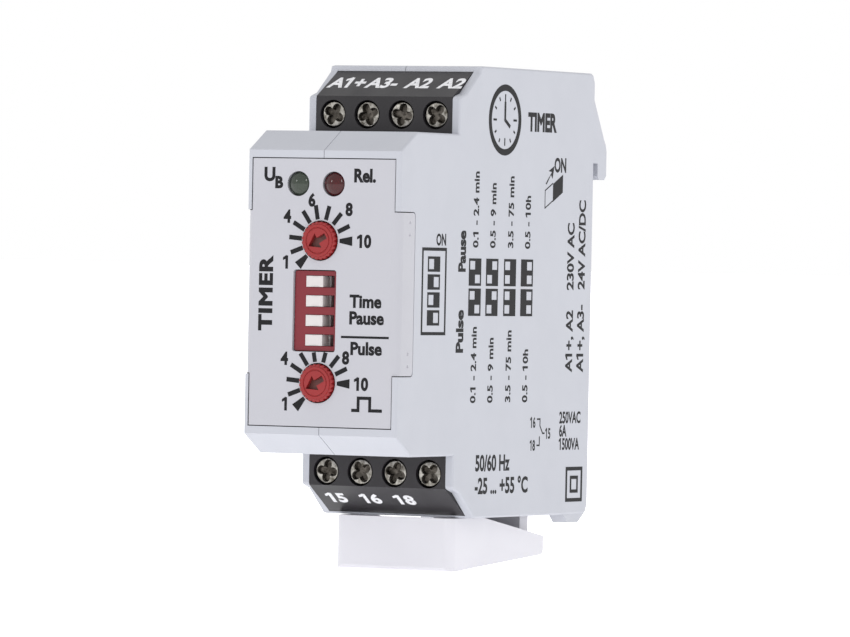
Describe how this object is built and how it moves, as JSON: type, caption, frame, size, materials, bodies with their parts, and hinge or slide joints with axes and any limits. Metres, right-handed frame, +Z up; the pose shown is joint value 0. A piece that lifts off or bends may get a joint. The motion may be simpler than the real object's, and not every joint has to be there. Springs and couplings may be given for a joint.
{
  "type": "DIN rail timer relay",
  "caption": "Slim rail-mounted timer relay: stepped housing, front plate with two dials, slide switches and two lamps, screw terminals at both ends, sprung foot latch.",
  "frame": {"origin": "centre of the rail seat: on the plane of the two rail lands, level with the middle of a 35 mm rail, in the middle of the width", "axes": "+Y towards the rail, away from the front panel; +Z up, towards the fixed hook; +X to the right of someone facing the front panel"},
  "size_m": [0.0226, 0.0606, 0.0665],
  "materials": {
    "housing_plastic": "fine moulded grain, light grey",
    "plate_plastic": "fine moulded grain, light grey",
    "terminal_plastic": "moulded, dark grey",
    "latch_plastic": "smooth, white",
    "knob_plastic": "moulded, red",
    "switch_plastic": "moulded, dark red",
    "slider_plastic": "moulded, white",
    "green_lens": "translucent, unlit",
    "red_lens": "translucent, unlit",
    "screw_steel": "nickel plated, worn",
    "cage_steel": "zinc plated",
    "contact_brass": "tinned brass",
    "board_laminate": "green lacquer",
    "black_plastic": "moulded",
    "pin_metal": "tinned",
    "trimmer_plastic": "moulded, off-white",
    "relay_plastic": "moulded, dark blue",
    "copper_winding": "enamelled copper wire",
    "capacitor_case": "moulded, ochre",
    "capacitor_sleeve": "shrunk sleeve",
    "varistor_coat": "dipped coat, blue",
    "resistor_coat": "dipped coat, grey-blue",
    "spring_steel": "bright wire"
  },
  "bodies": {
    "housing": {"left_shell": "housing_plastic", "right_shell": "housing_plastic", "rail_hook": "housing_plastic", "front_plate": "plate_plastic", "upper_terminal_block": "terminal_plastic", "lower_terminal_block": "terminal_plastic", "upper_current_bars": "contact_brass", "lower_current_bars": "contact_brass", "upper_trimmer": "trimmer_plastic", "lower_trimmer": "trimmer_plastic", "dip_switch_body": "switch_plastic", "power_led": "green_lens", "relay_led": "red_lens", "front_board": "board_laminate", "main_board": "board_laminate", "link_header": "black_plastic", "link_pins": "pin_metal", "relay_cover": "relay_plastic", "relay_base": "black_plastic", "relay_coil": "copper_winding", "relay_contacts": "contact_brass", "film_capacitor": "capacitor_case", "smoothing_capacitor": "capacitor_sleeve", "varistor": "varistor_coat", "bridge_rectifier": "black_plastic", "resistors": "resistor_coat", "timer_chip": "black_plastic", "relay_driver": "black_plastic", "latch_spring": "spring_steel"},
    "rail_latch": {"rail_latch": "latch_plastic"},
    "upper_knob": {"upper_knob": "knob_plastic"},
    "lower_knob": {"lower_knob": "knob_plastic"},
    "dip_slider_1": {"dip_slider_1": "slider_plastic"},
    "dip_slider_2": {"dip_slider_2": "slider_plastic"},
    "dip_slider_3": {"dip_slider_3": "slider_plastic"},
    "dip_slider_4": {"dip_slider_4": "slider_plastic"},
    "upper_screw_1": {"upper_screw_1": "screw_steel"},
    "upper_screw_2": {"upper_screw_2": "screw_steel"},
    "upper_screw_3": {"upper_screw_3": "screw_steel"},
    "upper_screw_4": {"upper_screw_4": "screw_steel"},
    "upper_cage_1": {"upper_cage_1": "cage_steel"},
    "upper_cage_2": {"upper_cage_2": "cage_steel"},
    "upper_cage_3": {"upper_cage_3": "cage_steel"},
    "upper_cage_4": {"upper_cage_4": "cage_steel"},
    "lower_screw_1": {"lower_screw_1": "screw_steel"},
    "lower_screw_2": {"lower_screw_2": "screw_steel"},
    "lower_screw_3": {"lower_screw_3": "screw_steel"},
    "lower_screw_4": {"lower_screw_4": "screw_steel"},
    "lower_cage_1": {"lower_cage_1": "cage_steel"},
    "lower_cage_2": {"lower_cage_2": "cage_steel"},
    "lower_cage_3": {"lower_cage_3": "cage_steel"},
    "lower_cage_4": {"lower_cage_4": "cage_steel"}
  },
  "joints": [
    {"name": "latch_pull", "type": "slide", "parent": "housing", "child": "rail_latch", "axis": [0, 0, -1], "range_m": [0, 0.0042], "stiffness_N_per_m": 600, "springref_m": -0.002, "deforming": ["latch_spring"]},
    {"name": "upper_knob_turn", "type": "hinge", "parent": "housing", "child": "upper_knob", "pos_m": [-0.00035, -0.05375, 0.00675], "axis": [0, 1, 0], "range_deg": [-16, 209]},
    {"name": "lower_knob_turn", "type": "hinge", "parent": "housing", "child": "lower_knob", "pos_m": [-0.00035, -0.05375, -0.0117], "axis": [0, 1, 0], "range_deg": [-16, 209]},
    {"name": "dip_slider_1_slide", "type": "slide", "parent": "housing", "child": "dip_slider_1", "axis": [1, 0, 0], "range_m": [0, 0.00155]},
    {"name": "dip_slider_2_slide", "type": "slide", "parent": "housing", "child": "dip_slider_2", "axis": [1, 0, 0], "range_m": [0, 0.00155]},
    {"name": "dip_slider_3_slide", "type": "slide", "parent": "housing", "child": "dip_slider_3", "axis": [1, 0, 0], "range_m": [0, 0.00155]},
    {"name": "dip_slider_4_slide", "type": "slide", "parent": "housing", "child": "dip_slider_4", "axis": [1, 0, 0], "range_m": [0, 0.00155]},
    {"name": "upper_screw_1_turn", "type": "hinge", "parent": "housing", "child": "upper_screw_1", "pos_m": [-0.00762, -0.03875, 0.0235], "axis": [0, 1, 0], "range_deg": [0, 1800]},
    {"name": "upper_cage_1_lift", "type": "slide", "parent": "housing", "child": "upper_cage_1", "axis": [0, -1, 0], "range_m": [0, 0.00225]},
    {"name": "upper_screw_2_turn", "type": "hinge", "parent": "housing", "child": "upper_screw_2", "pos_m": [-0.00254, -0.03875, 0.0235], "axis": [0, 1, 0], "range_deg": [0, 1800]},
    {"name": "upper_cage_2_lift", "type": "slide", "parent": "housing", "child": "upper_cage_2", "axis": [0, -1, 0], "range_m": [0, 0.00225]},
    {"name": "upper_screw_3_turn", "type": "hinge", "parent": "housing", "child": "upper_screw_3", "pos_m": [0.00254, -0.03875, 0.0235], "axis": [0, 1, 0], "range_deg": [0, 1800]},
    {"name": "upper_cage_3_lift", "type": "slide", "parent": "housing", "child": "upper_cage_3", "axis": [0, -1, 0], "range_m": [0, 0.00225]},
    {"name": "upper_screw_4_turn", "type": "hinge", "parent": "housing", "child": "upper_screw_4", "pos_m": [0.00762, -0.03875, 0.0235], "axis": [0, 1, 0], "range_deg": [0, 1800]},
    {"name": "upper_cage_4_lift", "type": "slide", "parent": "housing", "child": "upper_cage_4", "axis": [0, -1, 0], "range_m": [0, 0.00225]},
    {"name": "lower_screw_1_turn", "type": "hinge", "parent": "housing", "child": "lower_screw_1", "pos_m": [-0.00762, -0.03875, -0.0235], "axis": [0, 1, 0], "range_deg": [0, 1800]},
    {"name": "lower_cage_1_lift", "type": "slide", "parent": "housing", "child": "lower_cage_1", "axis": [0, -1, 0], "range_m": [0, 0.00225]},
    {"name": "lower_screw_2_turn", "type": "hinge", "parent": "housing", "child": "lower_screw_2", "pos_m": [-0.00254, -0.03875, -0.0235], "axis": [0, 1, 0], "range_deg": [0, 1800]},
    {"name": "lower_cage_2_lift", "type": "slide", "parent": "housing", "child": "lower_cage_2", "axis": [0, -1, 0], "range_m": [0, 0.00225]},
    {"name": "lower_screw_3_turn", "type": "hinge", "parent": "housing", "child": "lower_screw_3", "pos_m": [0.00254, -0.03875, -0.0235], "axis": [0, 1, 0], "range_deg": [0, 1800]},
    {"name": "lower_cage_3_lift", "type": "slide", "parent": "housing", "child": "lower_cage_3", "axis": [0, -1, 0], "range_m": [0, 0.00225]},
    {"name": "lower_screw_4_turn", "type": "hinge", "parent": "housing", "child": "lower_screw_4", "pos_m": [0.00762, -0.03875, -0.0235], "axis": [0, 1, 0], "range_deg": [0, 1800]},
    {"name": "lower_cage_4_lift", "type": "slide", "parent": "housing", "child": "lower_cage_4", "axis": [0, -1, 0], "range_m": [0, 0.00225]}
  ],
  "couplings": [
    {"joint": "upper_screw_1_turn", "follows": "upper_cage_1_lift", "rad_per_m": 13963},
    {"joint": "upper_screw_2_turn", "follows": "upper_cage_2_lift", "rad_per_m": 13963},
    {"joint": "upper_screw_3_turn", "follows": "upper_cage_3_lift", "rad_per_m": 13963},
    {"joint": "upper_screw_4_turn", "follows": "upper_cage_4_lift", "rad_per_m": 13963},
    {"joint": "lower_screw_1_turn", "follows": "lower_cage_1_lift", "rad_per_m": 13963},
    {"joint": "lower_screw_2_turn", "follows": "lower_cage_2_lift", "rad_per_m": 13963},
    {"joint": "lower_screw_3_turn", "follows": "lower_cage_3_lift", "rad_per_m": 13963},
    {"joint": "lower_screw_4_turn", "follows": "lower_cage_4_lift", "rad_per_m": 13963}
  ]
}
